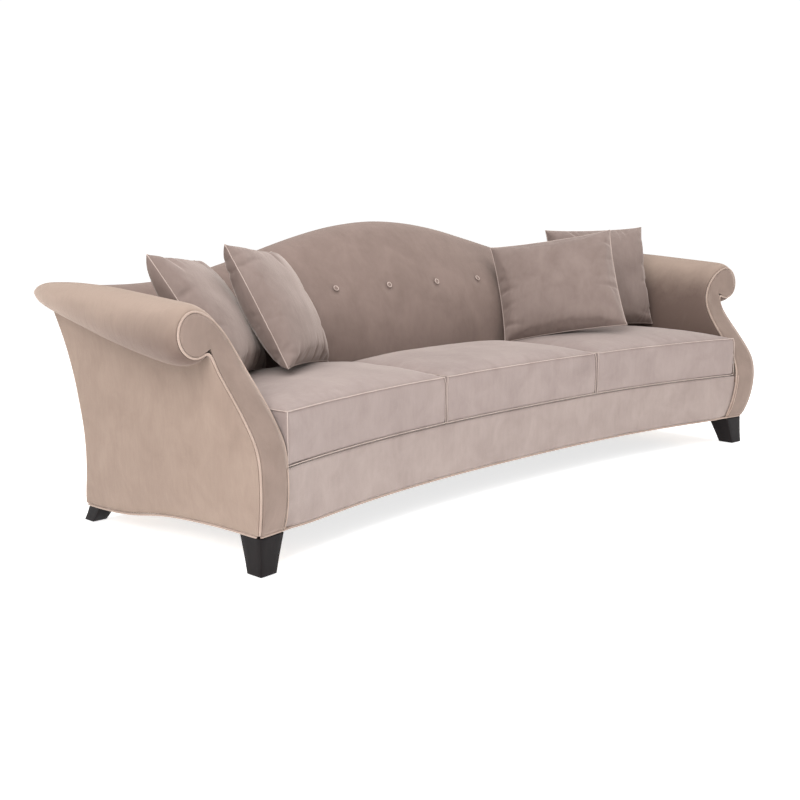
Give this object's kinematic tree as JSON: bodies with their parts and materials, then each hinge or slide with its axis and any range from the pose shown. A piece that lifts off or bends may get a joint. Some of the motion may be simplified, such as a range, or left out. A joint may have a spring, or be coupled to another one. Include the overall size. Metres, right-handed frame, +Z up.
{
  "type": "camelback sofa",
  "caption": "Long upholstered sofa with a camel-shaped back, scrolled arms, a concave front rail, loose boxed seat cushions, throw pillows and short tapered wood legs.",
  "frame": {"origin": "centre of the bounding box at floor level", "axes": "+Z up, +X along the sofa to the viewer's right, the front faces -Y"},
  "size_m": [2.906, 0.9897, 0.917],
  "materials": {
    "velvet": "short-pile velvet, taupe",
    "welt": "velvet-covered cord, taupe",
    "pillow_cloth": "short-pile velvet, taupe",
    "cushion_cloth": "short-pile velvet, taupe",
    "leg_wood": "dark espresso stain, satin",
    "glide_nylon": "matte",
    "plain_steel": "plain",
    "webbing": "woven jute",
    "dust_cloth": "plain black",
    "deck_cloth": "plain weave",
    "padding": "fibre padding",
    "foam": "open-cell foam",
    "frame_wood": "unfinished hardwood"
  },
  "bodies": {
    "base": {"arm_cover_left": "velvet", "arm_cover_right": "velvet", "arm_facing_left": "velvet", "arm_facing_right": "velvet", "arm_front_board_left": "frame_wood", "arm_front_board_right": "frame_wood", "arm_padding_left": "padding", "arm_padding_right": "padding", "arm_top_rail_left": "frame_wood", "arm_top_rail_right": "frame_wood", "back_buttons": "velvet", "back_padding": "padding", "back_post_left": "frame_wood", "back_post_right": "frame_wood", "back_top_rail": "frame_wood", "back_upright_inner_left": "frame_wood", "back_upright_inner_right": "frame_wood", "back_upright_outer_left": "frame_wood", "back_upright_outer_right": "frame_wood", "back_webbing": "webbing", "corner_blocks": "frame_wood", "deck_cover": "deck_cloth", "deck_pad": "padding", "dust_cover": "dust_cloth", "facing_welt_left": "welt", "facing_welt_right": "welt", "front_border": "velvet", "front_leg_left": "leg_wood", "front_leg_right": "leg_wood", "front_seat_rail": "frame_wood", "hem_welt_front": "welt", "hem_welt_left": "welt", "hem_welt_rear": "welt", "hem_welt_right": "welt", "inside_back_cover": "velvet", "leg_glides": "glide_nylon", "leg_plates": "plain_steel", "outside_arm_left": "velvet", "outside_arm_right": "velvet", "outside_back_panel": "velvet", "rear_leg_left": "leg_wood", "rear_leg_right": "leg_wood", "rear_seat_rail": "frame_wood", "seat_springs": "plain_steel", "seat_stretcher_left": "frame_wood", "seat_stretcher_right": "frame_wood", "side_seat_rail_left": "frame_wood", "side_seat_rail_right": "frame_wood", "spring_clips": "plain_steel"},
    "seat_cushion_left": {"seat_cushion_left": "cushion_cloth", "cushion_core_left": "foam"},
    "seat_cushion_middle": {"seat_cushion_middle": "cushion_cloth", "cushion_core_middle": "foam"},
    "seat_cushion_right": {"seat_cushion_right": "cushion_cloth", "cushion_core_right": "foam"},
    "pillow_left_rear": {"pillow_left_rear": "pillow_cloth"},
    "pillow_left_front": {"pillow_left_front": "pillow_cloth"},
    "pillow_right_rear": {"pillow_right_rear": "pillow_cloth"},
    "pillow_right_front": {"pillow_right_front": "pillow_cloth"}
  },
  "joints": [
    {"name": "seat_cushion_left_lift", "type": "slide", "parent": "base", "child": "seat_cushion_left", "axis": [0, 0, 1], "range_m": [0, 0.24]},
    {"name": "seat_cushion_middle_lift", "type": "slide", "parent": "base", "child": "seat_cushion_middle", "axis": [0, 0, 1], "range_m": [0, 0.24]},
    {"name": "seat_cushion_right_lift", "type": "slide", "parent": "base", "child": "seat_cushion_right", "axis": [0, 0, 1], "range_m": [0, 0.24]},
    {"name": "pillow_left_rear_lift", "type": "slide", "parent": "seat_cushion_left", "child": "pillow_left_rear", "axis": [0, 0, 1], "range_m": [0, 0.35]},
    {"name": "pillow_left_front_lift", "type": "slide", "parent": "pillow_left_rear", "child": "pillow_left_front", "axis": [0, 0, 1], "range_m": [0, 0.35]},
    {"name": "pillow_right_rear_lift", "type": "slide", "parent": "seat_cushion_right", "child": "pillow_right_rear", "axis": [0, 0, 1], "range_m": [0, 0.35]},
    {"name": "pillow_right_front_lift", "type": "slide", "parent": "pillow_right_rear", "child": "pillow_right_front", "axis": [0, 0, 1], "range_m": [0, 0.35]}
  ]
}
